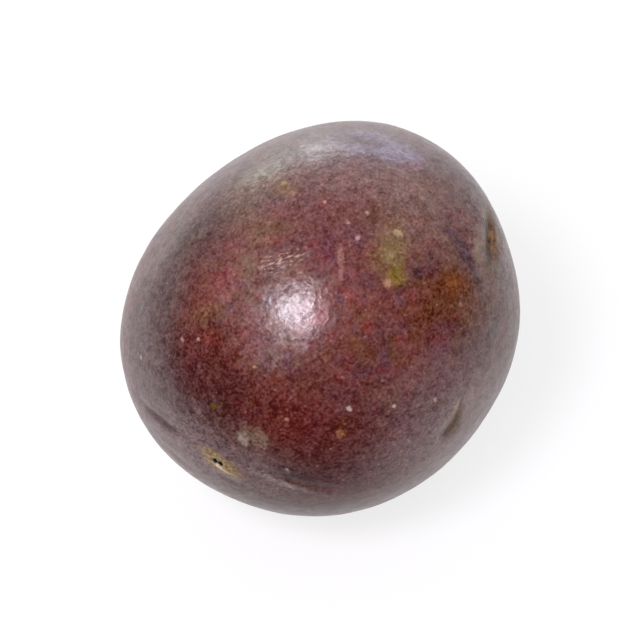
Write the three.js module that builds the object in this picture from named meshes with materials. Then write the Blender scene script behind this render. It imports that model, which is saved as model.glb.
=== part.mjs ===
// A whole purple passion fruit, lying on the small flat spot that its own weight has pressed into the rind.
//
// The fruit is one closed solid. Its rind is a sphere of directions carried out to a slightly bent, slightly
// egg-shaped ellipsoid, with its relief laid on top: the hollow and corky scar where the stalk came away, the
// pucker at the blossom end, the furrows beside them, a few soft dents, and the broad swells of the body.
//
// Units are millimetres and degrees. +Z is up, and the origin is at the middle of the underside.

import * as THREE from "three";
import { mergeVertices } from "three/addons/utils/BufferGeometryUtils.js";

// The body, in the fruit's own axes: X along it, Y across it with the belly at -Y, and Z through it.
const LENGTH = 58;
const WIDTH = 52.4;
const THICKNESS = 51.6;
const BEND = 2.1; // how far the two ends stand off the middle of the belly, towards +Y
const BEND_LEVEL = 0.25; // the share of the bend that is taken back again, to keep the body about its centre
const STEM_END_FULLER = 0.0125; // share by which the stem end is wider than the middle

// How it lies: turned about its own Z first, then leaned about the ground's X.
const TURN = 41.2;
const LEAN = 35;
const FLAT_SPOT_RADIUS = 4.6;

// A place on the rind: `around` is measured about the body's Z from +X, and `off` is the angle away from +Z.
const STEM_END = { around: 195.8, off: 57 };
const BLOSSOM_END = { around: -18.8, off: 64.2 };

// A feature of the relief is a bell-shaped rise or hollow. `long` and `wide` are its half sizes, and `heading`
// is the way that its long side points, from 0 (straight away from the body's Z) to 90 (round it).

// The stem end: a shallow hollow under a soft shoulder, a corky pad in it, and the pit that the stalk left.
const STEM_HOLLOW = { place: STEM_END, long: 11, wide: 5, height: -0.8, heading: 80 };
const STEM_SHOULDER = { place: { around: 200, off: 44 }, long: 12, wide: 4, height: 0.25, heading: 84 };
const STEM_PAD = { place: STEM_END, long: 2.8, wide: 1.9, height: 0.34, heading: 84 };
const STEM_PIT = { place: STEM_END, long: 0.95, wide: 0.7, height: -1.15, heading: 84 };
const STEM_FURROWS = [
  { place: { around: 172.5, off: 64 }, long: 4.4, wide: 0.75, height: -0.32, heading: 122 },
  { place: { around: 185, off: 74 }, long: 4.2, wide: 0.8, height: -0.3, heading: 103 },
  { place: { around: 226, off: 55.5 }, long: 6.2, wide: 0.9, height: -0.26, heading: 74 },
];

// The blossom end: a slanting pucker between low lips, with a fold on the side towards the body's Z.
const BLOSSOM_LIPS = { place: BLOSSOM_END, long: 6.4, wide: 4.6, height: 0.45, heading: 41 };
const BLOSSOM_PUCKER = { place: BLOSSOM_END, long: 3.6, wide: 1.9, height: -1.5, heading: 41 };
const BLOSSOM_KNOB = { place: BLOSSOM_END, long: 1, wide: 0.8, height: 0.35, heading: 41 };
const BLOSSOM_FOLD = { place: { around: -17.5, off: 48 }, long: 4, wide: 0.9, height: -0.24, heading: 100 };

// Soft dents in the rind between the two ends.
const DENTS = [
  { place: { around: 39, off: 66 }, long: 4, wide: 2.4, height: -0.36, heading: 60 },
  { place: { around: -76.5, off: 55.7 }, long: 2.8, wide: 1.1, height: -0.34, heading: 113 },
  { place: { around: 100, off: 118 }, long: 9, wide: 6, height: -0.4, heading: 30 },
  { place: { around: -128, off: 128 }, long: 7, wide: 5, height: -0.35, heading: 110 },
];

// Broad swells and flats that take the body off a true egg.
const SWELLS = [
  { place: { around: -132, off: 86 }, long: 10, wide: 9, height: 0.38, heading: 90 },
  { place: { around: -80, off: 86 }, long: 9, wide: 9, height: -0.3, heading: 90 },
  { place: { around: -47, off: 86 }, long: 9, wide: 9, height: 0.34, heading: 90 },
  { place: { around: -20, off: 84 }, long: 7, wide: 6, height: -0.32, heading: 90 },
  { place: { around: 40, off: 86 }, long: 12, wide: 12, height: 0.2, heading: 90 },
  { place: { around: 120, off: 86 }, long: 18, wide: 14, height: 0.22, heading: 90 },
];

const RELIEF = [
  STEM_HOLLOW,
  STEM_SHOULDER,
  STEM_PAD,
  STEM_PIT,
  ...STEM_FURROWS,
  BLOSSOM_LIPS,
  BLOSSOM_PUCKER,
  BLOSSOM_KNOB,
  BLOSSOM_FOLD,
  ...DENTS,
  ...SWELLS,
];

// Faces: the icosahedron's edges are cut into this many, and split again wherever the relief is fine.
const ICOSAHEDRON_CUTS = 12;
const FINEST_EDGE = 0.42;
const COARSEST_EDGE = 2.6;
const EDGE_PER_WIDTH = 0.5; // the edge length inside a feature, as a share of its half width
const FLAT_SPOT_EDGE = 0.8;
const FLAT_SPOT_REACH = 1.5 * FLAT_SPOT_RADIUS; // how far from its middle the short edges go
const EDGE_SLACK = 1.45; // an edge is cut once it is this much longer than its place wants
const SPLIT_ROUNDS = 4;

const SKIN_COLOUR = 0x5e2b2c;

const degrees = THREE.MathUtils.degToRad;

// The unit direction of a place on the rind, in the fruit's own axes.
function directionOf({ around, off }) {
  const ring = Math.sin(degrees(off));
  return new THREE.Vector3(
    ring * Math.cos(degrees(around)),
    ring * Math.sin(degrees(around)),
    Math.cos(degrees(off)),
  );
}

// The point of the smooth body in a direction, before any relief.
function bodyPoint(direction) {
  const { x, y, z } = direction;
  const girth = 1 - STEM_END_FULLER * x;
  return new THREE.Vector3(
    (LENGTH / 2) * x,
    (WIDTH / 2) * y * girth + BEND * (x * x - BEND_LEVEL),
    (THICKNESS / 2) * z * girth,
  );
}

// Adds to a feature its centre on the body and the two directions along the rind that it is measured in.
// A heading of 0 runs away from the body's Z, and 90 runs round it.
function laidOut(feature) {
  const up = directionOf(feature.place);
  const round = new THREE.Vector3(0, 0, 1).cross(up).normalize();
  const away = new THREE.Vector3().crossVectors(round, up).normalize();
  const turn = degrees(feature.heading);
  return {
    ...feature,
    centre: bodyPoint(up),
    lengthways: away.clone().multiplyScalar(Math.cos(turn)).addScaledVector(round, Math.sin(turn)),
    sideways: round.clone().multiplyScalar(Math.cos(turn)).addScaledVector(away, -Math.sin(turn)),
    up,
  };
}

const features = RELIEF.map(laidOut);

// How far a point lies from a feature's centre, as a share of the feature's own size in each direction.
function reachFrom(feature, point) {
  const offset = point.clone().sub(feature.centre);
  const along = offset.dot(feature.lengthways) / feature.long;
  const across = offset.dot(feature.sideways) / feature.wide;
  const below = offset.dot(feature.up) / feature.long; // keeps the far side of the fruit out of it
  return Math.hypot(along, across, below);
}

// The rind's point in a direction: the smooth body, raised or sunk by every feature's bell-shaped relief.
function rindPoint(direction) {
  const point = bodyPoint(direction);
  const height = features.reduce((sum, f) => sum + f.height * Math.exp(-(reachFrom(f, point) ** 2)), 0);
  return point.addScaledVector(direction, height);
}

// The fruit's own axes turned to the way it lies on the ground.
const lie = new THREE.Matrix4().makeRotationX(degrees(LEAN));
lie.multiply(new THREE.Matrix4().makeRotationZ(degrees(TURN)));

// The point of the body that ends up underneath, in the fruit's own axes.
const downwards = new THREE.Vector3(0, 0, -1).applyMatrix4(lie.clone().invert());
const underside = bodyPoint(downwards);

// The edge length that suits a direction: short inside small features and round the flat spot, long on the
// plain body.
function wantedEdge(direction) {
  const point = bodyPoint(direction);
  const wishes = features.map((f) => {
    const finest = Math.max(FINEST_EDGE, f.wide * EDGE_PER_WIDTH);
    const outside = Math.max(0, reachFrom(f, point) - 1);
    return finest + outside * f.wide;
  });
  const outsideFlatSpot = Math.max(0, point.distanceTo(underside) - FLAT_SPOT_REACH);
  return Math.min(COARSEST_EDGE, FLAT_SPOT_EDGE + outsideFlatSpot, ...wishes);
}

// A closed sphere of directions with nearly even faces.
function sphereOfDirections() {
  const sphere = new THREE.IcosahedronGeometry(1, ICOSAHEDRON_CUTS);
  sphere.deleteAttribute("normal");
  sphere.deleteAttribute("uv");
  const merged = mergeVertices(sphere, 1e-5);
  const position = merged.getAttribute("position");
  const directions = [];
  for (let i = 0; i < position.count; i += 1) {
    directions.push(new THREE.Vector3().fromBufferAttribute(position, i).normalize());
  }
  const corners = Array.from(merged.index.array);
  const faces = [];
  for (let i = 0; i < corners.length; i += 3) {
    faces.push(corners.slice(i, i + 3));
  }
  return { directions, faces };
}

// Cuts in two every edge that is longer than its place wants. An edge's two faces agree on its cut, so the
// surface stays closed.
function splitLongEdges({ directions, faces }) {
  const middles = new Map();
  const middleOf = (a, b) => {
    const key = a < b ? `${a} ${b}` : `${b} ${a}`;
    if (!middles.has(key)) {
      const middle = directions[a].clone().add(directions[b]).normalize();
      const length = bodyPoint(directions[a]).distanceTo(bodyPoint(directions[b]));
      middles.set(key, length > EDGE_SLACK * wantedEdge(middle) ? directions.push(middle) - 1 : null);
    }
    return middles.get(key);
  };
  const split = faces.flatMap((face) => {
    const cuts = face.map((corner, i) => middleOf(corner, face[(i + 1) % 3]));
    const count = cuts.filter((cut) => cut !== null).length;
    if (count === 0) return [face];
    if (count === 3) {
      const [a, b, c] = face;
      const [ab, bc, ca] = cuts;
      return [[a, ab, ca], [ab, b, bc], [ca, bc, c], [ab, bc, ca]];
    }
    // Turned so that the first edge is cut, and the last one isn't.
    const turn = cuts.findIndex((cut, i) => cut !== null && cuts[(i + 2) % 3] === null);
    const [a, b, c] = [0, 1, 2].map((i) => face[(turn + i) % 3]);
    const [ab, bc] = [0, 1].map((i) => cuts[(turn + i) % 3]);
    return bc === null ? [[a, ab, c], [ab, b, c]] : [[ab, b, bc], [a, ab, bc], [a, bc, c]];
  });
  return { directions, faces: split };
}

// The rind as a geometry in the part's frame: turned and leaned as it lies, and pressed flat underneath.
function rindGeometry() {
  let sphere = sphereOfDirections();
  for (let round = 0; round < SPLIT_ROUNDS; round += 1) {
    sphere = splitLongEdges(sphere);
  }
  const geometry = new THREE.BufferGeometry().setFromPoints(sphere.directions.map(rindPoint));
  geometry.setIndex(sphere.faces.flat());
  geometry.applyMatrix4(lie);
  geometry.computeBoundingBox();
  const { min, max } = geometry.boundingBox;
  const pressed = FLAT_SPOT_RADIUS ** 2 / THICKNESS; // depth of a cap with the flat spot's radius
  geometry.translate(-(min.x + max.x) / 2, -(min.y + max.y) / 2, -(min.z + pressed));
  const position = geometry.getAttribute("position");
  for (let i = 0; i < position.count; i += 1) {
    position.setZ(i, Math.max(0, position.getZ(i)));
  }
  geometry.computeVertexNormals();
  return geometry;
}

const skin = new THREE.MeshStandardMaterial({ color: SKIN_COLOUR, roughness: 0.38, metalness: 0 });
const fruit = new THREE.Mesh(rindGeometry(), skin);
fruit.name = "fruit";

const passionFruit = new THREE.Group();
passionFruit.add(fruit);

export default passionFruit;
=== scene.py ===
"""A whole purple passion fruit, lying on a pale floor in soft studio light.

The rind is one closed mesh that Geometry Nodes make. A cube's grid is rounded to a sphere of directions and
carried out to the fruit's body, with its relief laid on: the stem end's hollow and cork, the blossom end's
pucker, furrows, dents, and the fine unevenness of a leathery rind. The rind keeps each point's place on the
smooth body as an attribute, and its skin's colours, marks and grain are patterns over that place.
"""

import math
from collections import namedtuple

import bpy
from mathutils import Matrix, Vector


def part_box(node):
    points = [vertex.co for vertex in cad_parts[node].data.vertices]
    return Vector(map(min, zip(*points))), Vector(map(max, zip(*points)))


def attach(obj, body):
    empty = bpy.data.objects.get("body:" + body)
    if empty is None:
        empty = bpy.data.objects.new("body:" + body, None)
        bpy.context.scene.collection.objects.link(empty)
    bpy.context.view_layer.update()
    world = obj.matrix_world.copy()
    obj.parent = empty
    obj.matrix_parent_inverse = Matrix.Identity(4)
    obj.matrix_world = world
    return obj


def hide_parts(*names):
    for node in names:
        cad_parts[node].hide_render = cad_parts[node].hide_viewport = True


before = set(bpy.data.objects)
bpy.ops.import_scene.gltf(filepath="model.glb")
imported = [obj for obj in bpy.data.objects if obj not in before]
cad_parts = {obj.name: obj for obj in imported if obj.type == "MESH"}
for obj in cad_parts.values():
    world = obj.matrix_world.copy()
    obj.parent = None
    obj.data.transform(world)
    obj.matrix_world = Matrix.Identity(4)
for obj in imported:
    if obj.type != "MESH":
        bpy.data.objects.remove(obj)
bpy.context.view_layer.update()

# The fruit's own measures are in millimetres, and MM turns them into the frame's metres.
STANDING_HEIGHT = 52.27
LOW, HIGH = (Vector(corner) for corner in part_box("fruit"))
MM = (HIGH.z - LOW.z) / STANDING_HEIGHT
MIDDLE = (LOW + HIGH) / 2


# ---------------------------------------------------------------- the shape's driving values

LENGTH = 58.0
WIDTH = 52.4
THICKNESS = 51.6
BEND = 2.1  # how far the two ends stand off the middle of the belly
BEND_LEVEL = 0.25  # the share of the bend that is taken back, to keep the body about its centre
STEM_END_FULLER = 0.0125
TURN = 41.2  # the fruit is turned about its own Z by this, then leaned about the ground's X
LEAN = 35.0
FLAT_SPOT_RADIUS = 4.6
FLAT_SPOT_SOFTNESS = 0.12

CUBE_CUTS = 127  # faces along each edge of the cube that the rind starts from

# A mark on the rind. `around` and `off` place it, in degrees: the angle about the body's Z from +X, and the
# angle away from +Z. `long` and `wide` are its half sizes in millimetres, `heading` is where its long side
# points, from 0 (straight away from the body's Z) to 90 (round it), and `height` is how far it rises.
Mark = namedtuple("Mark", "around off long wide heading height", defaults=(0, 0))

STEM_END = Mark(195.8, 57.0, 11.0, 5.0, 80, -0.8)
BLOSSOM_END = Mark(-18.8, 64.2, 6.4, 4.6, 41, 0.45)

# The stem end's cork, the two pits in it, and the slit that the blossom end closed to.
CORK = Mark(196.4, 60.0, 3.1, 1.6, 86)
PITS = (
    Mark(194.6, 60.9, 0.62, 0.34, 12),
    Mark(196.7, 60.5, 0.56, 0.32, 12),
    Mark(195.6, 60.9, 0.7, 0.2, 88),  # the groove between them
)
SLIT = BLOSSOM_END._replace(long=4.8, wide=1.7)

# The hollows and rises of the relief.
FORMS = (
    STEM_END,
    Mark(200, 44, 12, 4, 84, 0.25),  # the shoulder over the stem end
    Mark(172.5, 66, 4.6, 1.05, 122, -0.27),  # furrows beside the stem end, and a ridge along one of them
    Mark(185, 74, 4.2, 0.85, 103, -0.12),
    Mark(221, 53.8, 6.2, 0.95, 80, -0.26),
    Mark(218.5, 57.2, 6.0, 0.9, 79, 0.16),
    Mark(-128, 57, 4.2, 0.6, 82, -0.12),
    Mark(176, 58.5, 4.8, 0.5, 118, -0.1),
    Mark(206, 66, 5.0, 0.5, 86, -0.1),
    BLOSSOM_END,
    SLIT._replace(long=3.8, wide=1.7, height=-0.8),
    BLOSSOM_END._replace(long=0.9, wide=0.7, height=0.4),  # the knob in the slit
    Mark(-17.5, 57, 4.0, 1.6, 50, 0.25),  # its near lip
    Mark(-17.5, 48, 4, 1.3, 100, -0.12),  # the fold beside it
    Mark(39, 66, 4, 2.4, 60, -0.36),  # a dent
    Mark(-81.5, 58.8, 2.8, 1.5, 113, -0.2),  # the healed split
    Mark(100, 118, 9, 6, 30, -0.4),  # dents on the side that is turned away
    Mark(-128, 128, 7, 5, 110, -0.35),
    Mark(-132, 86, 10, 9, 90, 0.38),  # swells and flats of the body
    Mark(-80, 86, 9, 9, 90, -0.3),
    Mark(-47, 86, 9, 9, 90, 0.34),
    Mark(-20, 84, 7, 6, 90, -0.32),
    Mark(40, 86, 12, 12, 90, 0.2),
    Mark(120, 86, 18, 14, 90, 0.22),
    CORK._replace(height=0.3),  # the cork and its pits
    PITS[0]._replace(height=-0.9),
    PITS[1]._replace(height=-0.8),
    PITS[2]._replace(height=-0.3),
)


# ---------------------------------------------------------------- node trees, written as sums


class Link:
    """One output socket of a node tree. Python's operators on it add the nodes that do the sum."""

    def __init__(self, tree, socket=None):
        self.tree = tree
        self.socket = socket

    def node(self, kind, settings=None, values=None, out=0):
        """Adds a node: its settings first, then its sockets' values or links. Returns one of its outputs."""
        made = self.tree.nodes.new(kind)
        for name, value in (settings or {}).items():
            setattr(made, name, value)
        for name, value in (values or {}).items():
            if isinstance(value, Link):
                self.tree.links.new(value.socket, made.inputs[name])
            else:
                made.inputs[name].default_value = value
        return Link(self.tree, made.outputs[out]) if made.outputs else None

    def also(self, out):
        """Another output of the node that this one came from."""
        return Link(self.tree, self.socket.node.outputs[out])

    def is_vector(self):
        return self.socket.type in ("VECTOR", "RGBA")

    def math(self, operation, *values):
        return self.node("ShaderNodeMath", {"operation": operation}, dict(enumerate((self, *values))))

    def vector_math(self, operation, *values, out=0):
        sockets = dict(enumerate((self, *values)))
        return self.node("ShaderNodeVectorMath", {"operation": operation}, sockets, out)

    def combine(self, operation, other, swapped=False):
        """One sum of two: on vectors where either is one, and on numbers otherwise."""
        if self.is_vector() or is_vector(other):
            pair = [as_vector(self), as_vector(other)]
            kind = "ShaderNodeVectorMath"
        else:
            pair = [self, other]
            kind = "ShaderNodeMath"
        if swapped:
            pair.reverse()
        return self.node(kind, {"operation": operation}, dict(enumerate(pair)))

    def __add__(self, other):
        return self.combine("ADD", other)

    __radd__ = __add__

    def __sub__(self, other):
        return self.combine("SUBTRACT", other)

    def __rsub__(self, other):
        return self.combine("SUBTRACT", other, swapped=True)

    def __mul__(self, other):
        return self.combine("MULTIPLY", other)

    __rmul__ = __mul__

    def __truediv__(self, other):
        return self.combine("DIVIDE", other)

    def length(self):
        return self.vector_math("LENGTH", out="Value")

    def unit(self):
        return self.vector_math("NORMALIZE")

    def axis(self, index):
        return self.node("ShaderNodeSeparateXYZ", values={0: self}, out=index)

    def bell(self):
        """1 where this is 0, and falling to nothing past 2."""
        return (self * self * -1).math("EXPONENT")

    def step(self, start, end):
        """0 up to `start` and 1 from `end`, with a smooth rise between. `start` may be the larger."""
        values = {"Value": self, "From Min": start, "From Max": end}
        return self.node("ShaderNodeMapRange", {"interpolation_type": "SMOOTHSTEP"}, values)

    def clamped(self):
        return self.math("MAXIMUM", 0.0).math("MINIMUM", 1.0)


def is_vector(value):
    return value.is_vector() if isinstance(value, Link) else isinstance(value, (tuple, Vector))


def as_vector(value):
    """A number becomes the vector that has it on all three axes. A socket does so by itself."""
    return (value, value, value) if isinstance(value, (int, float)) else value


# ---------------------------------------------------------------- places on the fruit


def direction(around, off):
    """The unit direction of a place on the rind, in the fruit's own axes."""
    ring = math.sin(math.radians(off))
    angle = math.radians(around)
    return Vector((ring * math.cos(angle), ring * math.sin(angle), math.cos(math.radians(off))))


def body_point(way):
    """The point of the smooth body in a direction, in millimetres."""
    girth = 1 - STEM_END_FULLER * way.x
    return Vector((
        LENGTH / 2 * way.x,
        WIDTH / 2 * way.y * girth + BEND * (way.x**2 - BEND_LEVEL),
        THICKNESS / 2 * way.z * girth,
    ))


def within(point, mark):
    """A point's offset from a mark's centre, turned so that X runs along the mark and Z out of the rind."""
    up = direction(mark.around, mark.off)
    sideways = Vector((0, 0, 1)).cross(up).normalized()
    away = sideways.cross(up).normalized()
    turn = math.radians(mark.heading)
    rows = (
        away * math.cos(turn) + sideways * math.sin(turn),
        sideways * math.cos(turn) - away * math.sin(turn),
        up,
    )
    values = {"Vector": point - body_point(up), "Rotation": Matrix(rows).to_euler("XYZ")}
    return point.node("ShaderNodeVectorRotate", {"rotation_type": "EULER_XYZ"}, values)


def reach(point, mark):
    """How far a point lies from a mark's centre, as a share of the mark's half sizes."""
    shares = (1 / mark.long, 1 / mark.wide, 1 / mark.long)
    return (within(point, mark) * shares).length()


def noise(point, size, detail=2.0, roughness=0.5, out=0):
    """Soft noise about 0.5 whose lumps are about `size` millimetres across."""
    values = {"Vector": point, "Scale": 1 / size, "Detail": detail, "Roughness": roughness}
    return point.node("ShaderNodeTexNoise", {"noise_dimensions": "3D"}, values, out)


# ---------------------------------------------------------------- the rind's mesh

# How strongly the grid is drawn towards the two ends, where the relief is finest, and over what angle.
END_PULL = 0.6
END_PULL_SPREAD = 0.26

# The unevenness of the rind: the size of its lumps and how far they rise.
SWELL_SIZE = 11.0
SWELL_HEIGHT = 0.16
RIPPLE_SIZE = 3.4
RIPPLE_HEIGHT = 0.05
GRAIN_SIZE = 1.15
GRAIN_HEIGHT = 0.02

# The gathers: how wide a fold is, as a share of its distance from the end, how much the folds waver, and the
# ring in which they show, which begins at one distance from the end and is full at the next.
FOLD_WIDTH = 0.42
FOLD_WAVER = 0.06
FOLDS_BEGIN = 0.3
FOLDS_FULL = 1.9
STEM_FOLDS = (6.0, 0.09)  # how far out they reach, and how far they rise
BLOSSOM_FOLDS = (5.0, 0.16)


def fine_relief(point):
    """The rind's unevenness and the small folds that run out of its two ends, in millimetres."""
    swell = (noise(point, SWELL_SIZE) - 0.5) * (2 * SWELL_HEIGHT)
    ripple = (noise(point, RIPPLE_SIZE, detail=3) - 0.5) * (2 * RIPPLE_HEIGHT)
    grain = (noise(point, GRAIN_SIZE) - 0.5) * (2 * GRAIN_HEIGHT)
    stem_folds = gathers(point, STEM_END, *STEM_FOLDS)
    blossom_folds = gathers(point, BLOSSOM_END, *BLOSSOM_FOLDS)
    return swell + ripple + grain + stem_folds + blossom_folds


def gathers(point, end, outer, height):
    """Uneven little folds that run out of an end of the fruit, as far as `outer` millimetres."""
    flat = within(point, end) * (1, 1, 0)
    folds = noise(flat.unit() + flat * FOLD_WAVER, FOLD_WIDTH) - 0.5
    distance = flat.length()
    ring = distance.step(FOLDS_BEGIN, FOLDS_FULL) * distance.step(outer, FOLDS_FULL)
    return folds * ring * (2 * height)


def rind_tree():
    """The node tree of the rind. Its inputs are the fruit's main measures, in millimetres and degrees."""
    tree = bpy.data.node_groups.new("rind", "GeometryNodeTree")
    inputs = (
        ("Cuts", "NodeSocketInt"),
        ("Length", "NodeSocketFloat"),
        ("Width", "NodeSocketFloat"),
        ("Thickness", "NodeSocketFloat"),
        ("Bend", "NodeSocketFloat"),
        ("Stem End Fuller", "NodeSocketFloat"),
        ("Turn", "NodeSocketFloat"),
        ("Lean", "NodeSocketFloat"),
        ("Flat Spot Radius", "NodeSocketFloat"),
        ("Skin", "NodeSocketMaterial"),
    )
    for name, kind in inputs:
        tree.interface.new_socket(name, in_out="INPUT", socket_type=kind)
    tree.interface.new_socket("Rind", in_out="OUTPUT", socket_type="NodeSocketGeometry")
    start = Link(tree)
    size = {name: start.node("NodeGroupInput", out=name) for name, _ in inputs}

    # A cube's grid, with its lines spread evenly by angle and then drawn towards the two ends.
    corners = size["Cuts"] + 1
    values = {"Size": (2, 2, 2), "Vertices X": corners, "Vertices Y": corners, "Vertices Z": corners}
    cube = start.node("GeometryNodeMeshCube", values=values)
    grid = start.node("GeometryNodeInputPosition")
    way = (grid * (math.pi / 4)).vector_math("TANGENT").unit()
    for end in (STEM_END, BLOSSOM_END):
        towards = direction(end.around, end.off)
        share = ((way - towards).length() * (1 / END_PULL_SPREAD)).bell() * END_PULL
        way = (way + (as_socket_vector(start, towards) - way) * share).unit()

    # The smooth body.
    x, y, z = (way.axis(index) for index in range(3))
    girth = 1 - size["Stem End Fuller"] * x
    body_y = size["Width"] / 2 * y * girth + size["Bend"] * (x * x - BEND_LEVEL)
    body = start.node("ShaderNodeCombineXYZ", values={
        0: size["Length"] / 2 * x, 1: body_y, 2: size["Thickness"] / 2 * z * girth,
    })

    # Its relief, and the way it lies.
    height = fine_relief(body)
    for mark in FORMS:
        height = height + reach(body, mark).bell() * mark.height
    rind = body + way * height
    rind = turned(rind, "Z_AXIS", size["Turn"])
    rind = turned(rind, "X_AXIS", size["Lean"])
    kept = start.node("GeometryNodeStoreNamedAttribute", {"data_type": "FLOAT_VECTOR"}, {
        "Geometry": cube, "Name": "place", "Value": body,
    })
    lying = start.node("GeometryNodeSetPosition", values={"Geometry": kept, "Position": rind})

    # Set down: centred, and pressed flat underneath.
    place = start.node("GeometryNodeInputPosition")
    extent = start.node("GeometryNodeAttributeStatistic", {"data_type": "FLOAT_VECTOR"}, {
        "Geometry": lying, "Attribute": place,
    }, out="Min")
    lowest = vector_output(extent, "Min")
    highest = vector_output(extent, "Max")
    pressed = size["Flat Spot Radius"] * size["Flat Spot Radius"] / size["Thickness"]
    centre = (lowest + highest) * 0.5
    above = place.axis(2) - lowest.axis(2) - pressed
    softened = (above + (above * above + FLAT_SPOT_SOFTNESS**2).math("SQRT")) * 0.5
    set_down = start.node("ShaderNodeCombineXYZ", values={
        0: (place.axis(0) - centre.axis(0)) * MM + MIDDLE.x,
        1: (place.axis(1) - centre.axis(1)) * MM + MIDDLE.y,
        2: softened * MM + LOW.z,
    })
    resting = start.node("GeometryNodeSetPosition", values={"Geometry": lying, "Position": set_down})
    smooth = start.node("GeometryNodeSetShadeSmooth", values={"Geometry": resting})
    real = start.node("GeometryNodeRealizeInstances", values={"Geometry": smooth})
    skinned = start.node("GeometryNodeSetMaterial", values={"Geometry": real, "Material": size["Skin"]})
    start.node("NodeGroupOutput", values={"Rind": skinned})
    return tree


def vector_output(link, name):
    """The vector output of that name, of the several with one name that the node keeps for its data types."""
    for socket in link.socket.node.outputs:
        if socket.name == name and socket.type == "VECTOR":
            return Link(link.tree, socket)


def as_socket_vector(start, vector):
    return start.node("ShaderNodeCombineXYZ", values=dict(enumerate(vector)))


def turned(point, axis, degrees):
    values = {"Vector": point, "Angle": degrees.math("RADIANS")}
    return point.node("ShaderNodeVectorRotate", {"rotation_type": axis}, values)


def make_rind(skin):
    tree = rind_tree()
    maker = bpy.data.objects.new("rind_maker", bpy.data.meshes.new("rind_maker"))
    bpy.context.collection.objects.link(maker)
    modifier = maker.modifiers.new("rind", "NODES")
    modifier.node_group = tree
    measures = {
        "Cuts": CUBE_CUTS, "Length": LENGTH, "Width": WIDTH, "Thickness": THICKNESS, "Bend": BEND,
        "Stem End Fuller": STEM_END_FULLER, "Turn": TURN, "Lean": LEAN, "Flat Spot Radius": FLAT_SPOT_RADIUS,
        "Skin": skin,
    }
    for item in tree.interface.items_tree:
        if item.in_out == "INPUT":
            modifier[item.identifier] = measures[item.name]
    evaluated = maker.evaluated_get(bpy.context.evaluated_depsgraph_get())
    mesh = bpy.data.meshes.new_from_object(evaluated)
    mesh.name = "rind"
    rind = bpy.data.objects.new("rind", mesh)
    bpy.context.collection.objects.link(rind)
    bpy.data.objects.remove(maker)
    return rind


# ---------------------------------------------------------------- the skin


def colour(code):
    """A linear colour from the six-figure code of the colour as it is seen."""
    def linear(part):
        share = int(part, 16) / 255
        return share / 12.92 if share <= 0.04045 else ((share + 0.055) / 1.055) ** 2.4

    return (linear(code[0:2]), linear(code[2:4]), linear(code[4:6]), 1.0)


def blend(under, over, share):
    """Colour `over` laid on colour `under`, as strongly as `share`."""
    return share.node("ShaderNodeMix", {"data_type": "RGBA"}, {0: share, 6: under, 7: over}, out=2)


# Soft washes of colour over the rind: where each lies, its colour, and how strongly it covers.
# Some washes are painted light: the grey reflection along the rim, and shade inside it and at the lowest
# edge.
WASHES = (
    (Mark(50, 69, 22, 7, 90), "98908c", 0.60),  # a painted reflection, pale grey along the top rim, and grey and brown above
    (Mark(60, 57, 12, 4, 90), "5a5a56", 0.40),
    (Mark(20, 44, 12, 9, 90), "6c4840", 0.50),
    (Mark(43, 42, 7, 4, 90), "6c5048", 0.35),
    (Mark(94, 36, 9, 7, 90), "6c443c", 0.30),
    (Mark(54, 30, 8, 6, 90), "74444a", 0.35),
    (Mark(103, 58, 7, 4, 90), "443c38", 0.60),
    (Mark(140, 44, 8, 6, 90), "7a3c32", 0.50),
    (Mark(-131, 42, 20, 9, 90), "420a06", 0.80),  # oxblood in the middle and below it
    (Mark(-142, 27, 10, 7, 90), "6a1c08", 0.40),
    (Mark(178, 40, 10, 7, 60), "380906", 0.80),
    (Mark(-138, 52, 9, 3.4, 88), "340c0a", 0.75),
    (Mark(-130, 68, 14, 5, 90), "54302a", 0.60),
    (Mark(140, 62, 16, 6, 90), "463634", 0.75),  # greyer at the sides: pale grey on the rim is a painted reflection, darker grey painted shade
    (Mark(-77, 43, 9, 6, 90), "6a4450", 0.30),
    (Mark(-76, 67, 15, 5.5, 90), "a48480", 0.75),
    (Mark(-74, 60, 7, 4, 90), "a88c88", 0.60),
    (Mark(-40, 69, 9, 5, 90), "7c5a58", 0.55),
    (Mark(2, 67, 8, 5, 90), "5c3c38", 0.45),
    (Mark(176, 68, 7, 3, 90), "a09090", 0.50),
    (Mark(188, 61, 17, 5.5, 84), "806a6a", 0.70),  # the pale shoulder round the stem end, in part its own colour and in part a painted reflection
    (Mark(110, 49.5, 8, 4.5, 84), "46221e", 0.50),  # painted shade inside the rim, and a painted reflection on the rim past it
    (Mark(138, 50, 13, 3.6, 92), "361210", 0.65),
    (Mark(109, 65, 9, 3.4, 90), "b0a49c", 0.22),
    (Mark(161, 60, 6, 4, 80), "4a3432", 0.30),
    (Mark(-154, 49.5, 6.5, 3.6, 90), "8e7672", 0.34),  # paler along the lower side, a painted reflection
    (Mark(-126, 61.5, 13, 2.6, 90), "8a6e68", 0.30),
    (Mark(-99, 53, 8, 5.5, 90), "9a8482", 0.45),
    (Mark(-143, 71, 13, 5, 84), "4c3a36", 0.40),  # and darker again under it, painted shade
    (Mark(11, 50.5, 5, 4, 90), "a88878", 0.22),
    (Mark(-37, 47, 5, 6, 90), "9a7452", 0.20),
    (Mark(82, 47.5, 5, 4, 90), "6e6858", 0.35),  # small washes here and there
    (Mark(95, 21, 4, 3, 90), "5c3424", 0.35),
    (Mark(-113, 21, 4, 3.5, 90), "4a1c1c", 0.45),
    (Mark(-56, 50, 5, 4, 90), "522c30", 0.35),
)
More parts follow.
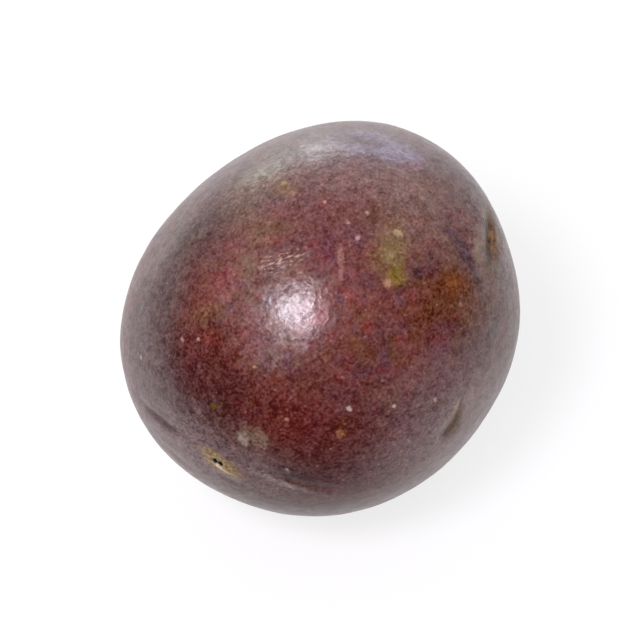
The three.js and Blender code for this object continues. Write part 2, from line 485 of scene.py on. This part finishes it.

# Patches with wandering edges: the places where the rind has kept some green, or has weathered to brown.
# Some patches by the furrows are painted shade, and one is a painted reflection along a lip.
PATCH_EDGE = (1.45, 0.35)  # where the edge begins and is full, as shares of the half sizes
PATCHES = (
    (Mark(9, 29, 4.8, 2.5, 15), "86683f", 0.40),
    (Mark(4, 25.3, 2.6, 1.8, 25), "84703c", 0.55),
    (Mark(38.5, 17.2, 2.5, 0.45, 13), "a87a6e", 0.60),
    (Mark(-9, 23, 1.7, 1.5, 30), "7a620a", 0.80),
    (Mark(82, 34, 2.8, 1.8, 80), "6e5628", 0.35),
    (Mark(103, 30, 2.4, 1.7, 60), "6e5628", 0.35),
    (Mark(133, 35, 3.0, 1.5, 20), "6a4c20", 0.35),
    (Mark(52, 24, 3.6, 1.3, 10), "5c1c2e", 0.45),
    (Mark(112, 33, 2.2, 1.4, 30), "8a2828", 0.35),
    (Mark(-33, 35.5, 6.0, 2.8, 25), "663210", 0.75),
    (Mark(-28, 39.8, 2.0, 1.3, 25), "7c3e0a", 0.75),
    (Mark(-40, 30, 4.0, 2.6, 60), "62341c", 0.50),
    (Mark(68, 44.5, 2.0, 1.1, 60), "81603a", 0.50),
    (Mark(25, 33, 1.3, 1.0, 0), "5e3222", 0.70),
    (Mark(36, 64, 3.4, 2.2, 60), "553128", 0.60),
    (Mark(-121.2, 34.2, 0.9, 0.7, 0), "86502f", 0.80),
    (Mark(-16, 28.5, 1.0, 0.8, 0), "3a1c26", 0.65),
    (Mark(-18, 48, 4.4, 1.3, 100), "4c1c32", 0.80),
    (Mark(-19, 55, 4.0, 1.6, 60), "8c7468", 0.50),
    (Mark(-31, 50, 3.4, 0.7, 105), "3c2026", 0.60),
    (Mark(-27, 62, 2.6, 1.6, 80), "5e4a34", 0.60),
    (Mark(-46, 58, 3.0, 1.5, 60), "5c4c4a", 0.55),
    (Mark(-159.5, 39.5, 2.2, 1.45, 90), "86725e", 0.50),  # a thin scab
    (Mark(-163.5, 42.3, 1.3, 0.8, 60), "9a8c7a", 0.60),
    (Mark(-81, 59.2, 2.3, 1.6, 113), "6a4e36", 0.90),  # a healed split
    (Mark(-74, 54, 1.6, 0.4, 100), "5a4430", 0.85),
    (Mark(-78.5, 54.8, 1.9, 0.45, 113), "b8a294", 0.70),
    (Mark(172.5, 66, 3.8, 0.9, 122), "3e2c32", 0.50),  # painted shade in the furrows, and a pale painted reflection along a lip
    (Mark(-137, 51.5, 2.2, 0.7, 84), "34101c", 0.75),
    # a painted reflection along the lip of the shoulder
    (Mark(-142.5, 56.4, 5.2, 0.6, 78), "9c8e8c", 0.55),
    (Mark(-143, 47.5, 1.2, 0.35, 85), "38121c", 0.65),
    (Mark(105, 112, 4.0, 2.2, 40), "6e4434", 0.50),  # and on the side that is turned away
    (Mark(60, 128, 2.2, 1.4, 10), "8a7044", 0.50),
    (Mark(-40, 118, 3.4, 1.2, 70), "7a5a48", 0.50),
    (Mark(-110, 104, 2.6, 1.6, 20), "522018", 0.60),
    (Mark(10, 140, 3.2, 2.0, 0), "4a1a1e", 0.55),
    (Mark(175, 46, 1.6, 0.7, 90), "86706a", 0.40),
)

# The corky scars at the two ends: where each lies, its colour, the colour of the crumbs in it, how much its
# edge wanders, where the edge begins and is full as shares of the half sizes, and how strongly it covers.
Scar = namedtuple("Scar", "mark code crumb_code wander edge strength")
CORK_LIP = CORK._replace(around=CORK.around + 0.8, off=CORK.off + 2.0, long=2.0, wide=0.3)
CLEFT = SLIT._replace(long=3.2, wide=0.4)
CRUMB_SIZE = 0.5
SCARS = (
    Scar(CORK, "806440", "bca474", 0.8, (1.7, 0.3), 0.9),
    Scar(CORK_LIP, "e0d0ae", None, 0.5, (1.6, 0.4), 0.8),
    *(Scar(pit, "120a05", None, 0, (1.3, 0.8), 1) for pit in PITS),
    Scar(SLIT, "765640", None, 0.6, (2.2, 0.8), 0.8),
    Scar(SLIT, "4a2c1a", "a87a54", 0.6, (1.4, 0.5), 0.8),
    Scar(CLEFT, "3a2014", None, 0.7, (1.4, 0.5), 0.6),
)

# Streaks of dry rind in the blossom end and along the healed split.
STREAKS = (
    (Mark(-20.2, 54, 2.4, 1.2, 60), "a8927e", 0.35),
    (Mark(-13, 71, 1.6, 0.8, 48), "74664c", 0.50),
    (Mark(-13.9, 63.2, 1.8, 0.9, 48), "52402e", 0.60),
    (Mark(-23.2, 58.2, 1.8, 1.1, 56), "4e3828", 0.75),
    (Mark(-19.5, 69.4, 2.0, 0.5, 48), "b4a48c", 0.55),
    (Mark(-18.6, 65, 1.3, 0.5, 48), "b07c4c", 0.60),
    (Mark(-19.3, 61, 1.3, 0.25, 48), "3a1e0e", 0.80),
    (Mark(-71.8, 51, 0.9, 0.6, 100), "6e6450", 0.50),
    (Mark(-81.2, 54.3, 1.5, 0.6, 97), "b4a08c", 0.60),
    (Mark(-77, 53.6, 1.6, 0.35, 97), "bcac94", 0.65),
    (Mark(-82.6, 55.6, 1.1, 0.5, 105), "b09a8a", 0.50),
    (Mark(-84, 57.4, 0.9, 0.22, 110), "4a2424", 0.60),
)

# Small specks: where each lies, in degrees, its half size, and its colour.
SPECK_EDGE = (1.5, 0.4)
SPECK_RAG_SIZE = 0.4
SPECK_RAGGEDNESS = 2.4
SPECK_STRENGTH = 0.8
SPECKS = (
    (9.5, 31.9, 0.55, "b89a74"), (-10.2, 19.6, 0.50, "b98f72"), (-114.5, 26.5, 0.34, "ccb4ae"),
    (-142, 48.3, 0.28, "b49c90"), (-92.2, 33.1, 0.26, "cfb6b0"), (-78, 43, 0.28, "c69a8c"),
    (149.5, 62.9, 0.28, "c0ac84"), (144.5, 43.1, 0.28, "bd9080"), (145, 37.4, 0.25, "b98a78"),
    (170.5, 22.9, 0.26, "ac7850"), (177.8, 40.4, 0.50, "644c1e"), (52.2, 36, 0.26, "c08a84"),
    (30, 25, 0.30, "c49a8e"), (-38, 41.6, 0.28, "b98468"), (29.8, 33.1, 0.30, "b59676"),
    (68, 47.8, 0.36, "a08a3c"), (39, 29, 0.26, "b58a78"), (-100, 50, 0.26, "b0806e"),
    (210, 30, 0.26, "b07c6a"), (-21, 61.3, 0.30, "dcc8a8"),
)

# Bundles of fine parallel scratches, and two bundles of painted glints by the highlight: the width of a line,
# how it is drawn out along its bundle, the bundle's edge, and then where each bundle lies, its colour, and
# how strongly it covers.
SCRATCH_WIDTH = 0.36
SCRATCH_STRETCH = (0.34, 1, 0.3)
BUNDLE_EDGE = (1.3, 0.5)
SCRATCHES_AND_GLINTS = (
    # these two bundles are painted glints of the highlight, pale lines in its gloss
    (Mark(92, 24, 1.7, 1.6, 66), "ceac98", 0.65),
    (Mark(79, 22.3, 2.2, 1.3, 80), "ceb096", 0.65),
    (Mark(34, 69, 2.4, 0.9, 80), "a8986c", 0.60),
    (Mark(-60, 120, 3.6, 0.8, 40), "b08c7c", 0.50),
)

# Where the rind is dull, besides its scars.
DULL_EDGE = (1.5, 0.5)
DULL = (
    Mark(154, 38, 6, 5, 90),
    Mark(-172, 38, 10, 8.5, 90),
    Mark(-133, 43, 14, 10, 90),
    Mark(-38, 36, 6, 5, 30),
    Mark(-81, 57, 3.0, 1.2, 113),
    Mark(172.5, 66, 3.6, 1.0, 122),
)


# The wine red of the rind, and the hues that mottle it in broad and in small areas: which channel of the
# noise sets a hue, where in that channel it begins and is full, its colour, and how strongly it covers.
WINE = "72342c"
BROAD_HUES = (
    (0, 0.35, 0.65, "5e2c2a", 1),
    (1, 0.5, 0.7, "6a4420", 0.5),
    (2, 0.5, 0.7, "602c44", 0.45),
)
BROAD_HUE_SIZE = 6.0
SMALL_HUES = (
    (0, 0.47, 0.75, "663410", 0.75),
    (1, 0.47, 0.75, "562a3c", 0.65),
    (2, 0.50, 0.78, "8a2024", 0.45),
)
SMALL_HUE_SIZE = 2.6

# The grain of the leathery rind. Its noises have their sizes in millimetres, and shifts that keep one from
# lying over another. The fine and the coarse noise add up to an unevenness about 0.
FINE_SIZE = 0.42
COARSE_SIZE = 1.3
COARSE_SHIFT = (3, 8, 2)
STIPPLE_SIZE = 0.62
STIPPLE_SHIFT = (5, 1, 8)
FINE_SHARE = 1.65
COARSE_SHARE = 1.25
UNEVEN_LEVEL = 1.45

# What the grain does to the colour: the share by which it strengthens the tone, and the pale grey it adds.
UNEVEN_TONE = 0.8
UNEVEN_GREY = (0.062, 0.057, 0.054)
STIPPLE_TONE = 1.4
STIPPLE_GREY = (0.026, 0.024, 0.023)

# Round dots in random places: their shift, how far apart they are, the size of the largest, and the share
# that shows.
Dots = namedtuple("Dots", "shift apart radius share")
PORES = Dots((7, 3, 5), 1.25, 0.3, 0.7)
PINPRICKS = Dots((2, 9, 4), 1.1, 0.32, 0.6)
FLECKS = Dots((1, 6, 2), 4.5, 0.55, 0.7)

# Relief too fine for the mesh: the sizes of its streaks and of the leather's creases, and how far each kind
# rises or sinks, in millimetres.
STREAK_SIZE = 0.9
STREAK_STRETCH = (0.35, 1, 1)
STREAK_HEIGHT = 0.022
CREASE_SIZE = 1.9
CREASE_HEIGHT = -0.052
STIPPLE_HEIGHT = 0.002
PORE_HEIGHT = 0.004
PINPRICK_HEIGHT = -0.004

# How strongly a patch's edge wanders, and the size of its bays.
WANDER = 2.2
WANDER_SIZE = 1.3


def mottled(place):
    """The rind's wine red, with redder, browner and more purple areas of several sizes in it."""
    broad = noise(place, BROAD_HUE_SIZE, out="Color")
    small = noise(place, SMALL_HUE_SIZE, detail=1.5, out="Color")
    tone = colour(WINE)
    for hues, rows in ((broad, BROAD_HUES), (small, SMALL_HUES)):
        for channel, begin, full, code, strength in rows:
            tone = blend(tone, colour(code), hues.axis(channel).step(begin, full) * strength)
    return tone


def dots(place, kind):
    """Round soft dots of one kind, each of a size of its own."""
    values = {"Vector": place + kind.shift, "Scale": 1 / kind.apart}
    cell = place.node("ShaderNodeTexVoronoi", values=values, out="Distance")
    chance = cell.also("Color")
    distance = cell * kind.apart / (chance.axis(0) * 0.6 + 0.4)
    return distance.step(kind.radius, 0.0) * chance.axis(1).math("LESS_THAN", kind.share)


def patch(place, mark, wander):
    """A patch with a soft and wandering edge."""
    return (reach(place, mark) + wander).step(*PATCH_EDGE)


def weathered_with_painted_light(place, tone, wander):
    """The tone with its washes, among them painted reflection and painted shade, and its patches."""
    for mark, code, strength in WASHES:
        tone = blend(tone, colour(code), reach(place, mark).bell() * strength)
    for mark, code, strength in PATCHES:
        tone = blend(tone, colour(code), patch(place, mark, wander) * strength)
    return tone


def scarred(place, tone, wander):
    """The tone with the corky scars at the two ends, and the streaks beside them."""
    crumbs = noise(place, CRUMB_SIZE, roughness=0.6).step(0.35, 0.65)
    for scar in SCARS:
        shade = colour(scar.code)
        if scar.crumb_code:
            shade = blend(shade, colour(scar.crumb_code), crumbs)
        distance = reach(place, scar.mark)
        if scar.wander:
            distance = distance + wander * scar.wander
        tone = blend(tone, shade, distance.step(*scar.edge) * scar.strength)
    for mark, code, strength in STREAKS:
        tone = blend(tone, colour(code), patch(place, mark, wander) * strength)
    return tone


def speckled(place, tone):
    """The tone with its small specks, each a little ragged, its bundles of scratches, and painted glints by
    the highlight.
    """
    ragged = (noise(place, SPECK_RAG_SIZE) - 0.5) * SPECK_RAGGEDNESS
    for around, off, size, code in SPECKS:
        speck = (reach(place, Mark(around, off, size, size)) + ragged).step(*SPECK_EDGE)
        tone = blend(tone, colour(code), speck * SPECK_STRENGTH)
    for mark, code, strength in SCRATCHES_AND_GLINTS:
        lines = noise(within(place, mark) * SCRATCH_STRETCH, SCRATCH_WIDTH, detail=1).step(0.50, 0.66)
        # by the highlight these lines are painted glints
        scratch_and_glint = lines * reach(place, mark).step(*BUNDLE_EDGE)
        tone = blend(tone, colour(code), scratch_and_glint * strength)
    return tone


def polish_over(place):
    """1 where the rind can take a polish, and 0 in its dull areas and its scars."""
    polish = 1
    for mark in (*DULL, CORK, SLIT):
        polish = (1 - reach(place, mark).step(*DULL_EDGE)) * polish
    return polish


# How strongly the grain shows: at the sides, and what the crown, the underside and the two ends add. The
# crown and the underside begin and are full at heights in the fruit's own axes.
SIDE_GRAIN = 0.42
CROWN_GRAIN = 0.47
CROWN = (7, 20)
UNDERSIDE_GRAIN = 0.25
UNDERSIDE = (4, -8)
END_GRAIN = 0.3
END_EDGE = (1.3, 0.6)


def grain_strength(place):
    """How strongly the grain shows: most on the crown and round the two ends, and least at the sides."""
    height = place.axis(2)
    strength = height.step(*CROWN) * CROWN_GRAIN + height.step(*UNDERSIDE) * UNDERSIDE_GRAIN + SIDE_GRAIN
    for end in (STEM_END, BLOSSOM_END):
        strength = reach(place, end._replace(long=9, wide=7)).step(*END_EDGE) * END_GRAIN + strength
    return strength


# The two glosses of the skin, as a roughness and an IOR.
POLISHED = (0.27, 1.7)
DRY = (0.5, 1.2)

# The share of the polished gloss: its middle, and how far the grain takes it up or down.
GLOSS = 0.68
GLOSS_SPREAD = 0.62

# The faint grey bloom that the whole rind wears.
BLOOM = {"Sheen Weight": 0.06, "Sheen Roughness": 0.5, "Sheen Tint": (0.85, 0.82, 0.86, 1)}


def shaded(start, tone, roughness, ior, bump):
    """One gloss of the skin."""
    return start.node("ShaderNodeBsdfPrincipled", values={
        "Base Color": tone, "Roughness": roughness, "IOR": ior, "Normal": bump, **BLOOM,
    })


def rind_material():
    material = bpy.data.materials.new("rind")
    material.use_nodes = True
    tree = material.node_tree
    tree.nodes.clear()
    start = Link(tree)
    place = start.node("ShaderNodeAttribute", {"attribute_name": "place"}, out="Vector")

    wander = (noise(place, WANDER_SIZE, detail=4, roughness=0.65) - 0.5) * WANDER
    tone = weathered_with_painted_light(place, mottled(place), wander)

    # The fine stipple of a leathery rind, and its larger pale pores and flecks.
    fine = noise(place, FINE_SIZE, roughness=0.6)
    coarse = noise(place + COARSE_SHIFT, COARSE_SIZE, detail=3, roughness=0.6)
    stipple = noise(place + STIPPLE_SHIFT, STIPPLE_SIZE, roughness=0.6).step(0.48, 0.75)
    pores = dots(place, PORES) * coarse.step(0.4, 0.6)
    pinpricks = dots(place, PINPRICKS)
    flecks = dots(place, FLECKS) * place.axis(2).step(9, 3)
    polish = polish_over(place)
    crown = grain_strength(place)
    uneven = (fine * FINE_SHARE + coarse * COARSE_SHARE - UNEVEN_LEVEL) * crown * (1.3 - polish * 0.3)
    tone = tone * (uneven * UNEVEN_TONE + 1) + uneven * UNEVEN_GREY
    tone = blend(tone, tone * STIPPLE_TONE + STIPPLE_GREY, stipple * crown)
    tone = tone * (1 - pinpricks * 0.5)
    tone = blend(tone, colour("b8887a"), pores * 0.6)
    tone = blend(tone, colour("b89884"), flecks * 0.75)
    tone = scarred(place, speckled(place, tone), wander)

    streaks = noise(place * STREAK_STRETCH, STREAK_SIZE, detail=0)
    creases = (noise(place, CREASE_SIZE) * 2 - 1).math("ABSOLUTE")
    leather = streaks * STREAK_HEIGHT + creases * CREASE_HEIGHT
    relief = leather + stipple * STIPPLE_HEIGHT + pores * PORE_HEIGHT + pinpricks * PINPRICK_HEIGHT
    bump = start.node("ShaderNodeBump", values={"Strength": 1.0, "Distance": MM, "Height": relief})

    # The rind is polished above, and duller below and where its grain is dry.
    slickness = (fine * 0.4 + coarse * 0.6).step(0.36, 0.62) - 0.5
    gloss = (slickness * crown * GLOSS_SPREAD + GLOSS) * polish
    polished = shaded(start, tone, *POLISHED, bump)
    dry = shaded(start, tone, *DRY, bump)
    skin = start.node("ShaderNodeMixShader", values={0: gloss, 1: dry, 2: polished})
    start.node("ShaderNodeOutputMaterial", values={"Surface": skin})
    return material


# ---------------------------------------------------------------- floor, lights and camera

CAMERA_ELEVATION = 55.0
CAMERA_DISTANCE = 0.45
FRAME_WIDTH = 0.090  # the width of the view at the fruit
SENSOR_WIDTH = 36.0


def look_from(azimuth, elevation, distance, target):
    """A place and a turn from which -Z looks at the target. Azimuth 0 is in front, at -Y."""
    yaw = math.radians(azimuth)
    pitch = math.radians(elevation)
    out = Vector((math.sin(yaw) * math.cos(pitch), -math.cos(yaw) * math.cos(pitch), math.sin(pitch)))
    return target + out * distance, out.to_track_quat("Z", "Y").to_euler()


def make_camera():
    camera = bpy.data.objects.new("camera", bpy.data.cameras.new("camera"))
    camera.data.sensor_width = SENSOR_WIDTH
    camera.data.lens = SENSOR_WIDTH * CAMERA_DISTANCE / FRAME_WIDTH
    camera.location, camera.rotation_euler = look_from(0, CAMERA_ELEVATION, CAMERA_DISTANCE, MIDDLE)
    bpy.context.collection.objects.link(camera)
    bpy.context.scene.camera = camera


WHITE = (1, 1, 1)
LILAC = (1.0, 0.94, 1.05)
SKY = (0.97, 0.98, 1.0)
BLUE = (0.56, 0.62, 1.0)
COOL = (0.90, 0.93, 1.0)
LEAFY = (0.9, 1.0, 0.84)

# The soft lights: name, azimuth, elevation, distance, size, radiance, tint and shape. The first three make
# the highlight and its glow, and the windows make the reflections along the top of the fruit.
LIGHTS = (
    ("softbox", -37, 61.5, 0.6, (0.18, 0.145), 24.5, LILAC, "ELLIPSE"),
    ("softbox_side", -24, 54, 0.62, (0.24, 0.25), 4.7, LILAC, "ELLIPSE"),
    ("softbox_low", -36, 31, 0.62, (0.24, 0.18), 2.8, LILAC, "ELLIPSE"),
    ("wall", -80, 54, 0.65, (0.5, 0.5), 0.8, WHITE, "ELLIPSE"),
    ("sky", 126, 36, 0.8, (0.6, 0.45), 0.7, SKY, "RECTANGLE"),
    ("sky", 176, 36, 0.8, (0.6, 0.45), 0.8, SKY, "RECTANGLE"),
    ("sky", -136, 36, 0.8, (0.6, 0.45), 0.3, SKY, "RECTANGLE"),
    ("window", 162, 10, 0.8, (0.2, 0.22), 4.0, BLUE, "RECTANGLE"),
    ("window", 175, 10, 0.8, (0.14, 0.22), 3.2, BLUE, "RECTANGLE"),
    ("window", -172, 10, 0.8, (0.2, 0.22), 4.5, COOL, "RECTANGLE"),
    ("window", -156, 10, 0.8, (0.16, 0.22), 3.6, LEAFY, "RECTANGLE"),
)


def add_light(name, azimuth, elevation, distance, size, radiance, tint, shape):
    """A soft light that faces the fruit. Its brightness is the radiance that its face shows."""
    lamp = bpy.data.lights.new(name, "AREA")
    lamp.shape = shape
    lamp.size, lamp.size_y = size
    lamp.energy = radiance * size[0] * size[1] * math.pi * (math.pi / 4 if shape == "ELLIPSE" else 1)
    lamp.color = tint
    light = bpy.data.objects.new(name, lamp)
    light.location, light.rotation_euler = look_from(azimuth, elevation, distance, MIDDLE)
    bpy.context.collection.objects.link(light)
    light.visible_camera = False


def make_lights():
    for light in LIGHTS:
        add_light(*light)


# The backdrop: the world's light on everything, how much brighter it is where it is seen, straight or in a
# reflection, and the heights between which it fades out.
WORLD_LIGHT = 0.3
BACKDROP_GLOW = 0.7
BACKDROP_TOP = 0.28
BACKDROP_FULL = 0.1

# The floor: its own grey, which takes the shadow, and the glow that makes it white where it is seen.
FLOOR_SIZE = 6.0
FLOOR_GREY = (0.27, 0.27, 0.27, 1)
FLOOR_GLOW = 0.76


def seen_rays(start):
    """1 for a ray from the camera, or from a mirror or glass, and 0 for a ray that lights something."""
    rays = start.node("ShaderNodeLightPath", out="Is Camera Ray")
    return (rays + rays.also("Is Glossy Ray") + rays.also("Is Transmission Ray")).clamped()


def make_world():
    world = bpy.data.worlds.new("studio")
    bpy.context.scene.world = world
    world.use_nodes = True
    tree = world.node_tree
    tree.nodes.clear()
    start = Link(tree)
    height = start.node("ShaderNodeTexCoord", out="Generated").axis(2)
    backdrop = height.step(BACKDROP_TOP, BACKDROP_FULL)
    strength = seen_rays(start) * backdrop * BACKDROP_GLOW + WORLD_LIGHT
    light = start.node("ShaderNodeBackground", values={"Color": (*WHITE, 1), "Strength": strength})
    start.node("ShaderNodeOutputWorld", values={"Surface": light})


def make_floor():
    bpy.ops.mesh.primitive_plane_add(size=FLOOR_SIZE, location=(MIDDLE.x, MIDDLE.y, LOW.z))
    floor = bpy.context.object
    floor.name = "floor"
    material = bpy.data.materials.new("floor")
    material.use_nodes = True
    tree = material.node_tree
    tree.nodes.clear()
    start = Link(tree)
    glow = seen_rays(start) * FLOOR_GLOW
    paper = start.node("ShaderNodeBsdfDiffuse", values={"Color": FLOOR_GREY})
    shine = start.node("ShaderNodeEmission", values={"Color": (*WHITE, 1), "Strength": glow})
    both = start.node("ShaderNodeAddShader", values={0: paper, 1: shine})
    start.node("ShaderNodeOutputMaterial", values={"Surface": both})
    floor.data.materials.append(material)


# ---------------------------------------------------------------- the scene

bpy.context.scene.view_settings.view_transform = "Standard"
make_camera()
make_lights()
make_world()
make_floor()

rind = make_rind(rind_material())
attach(rind, "root")
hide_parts("fruit")
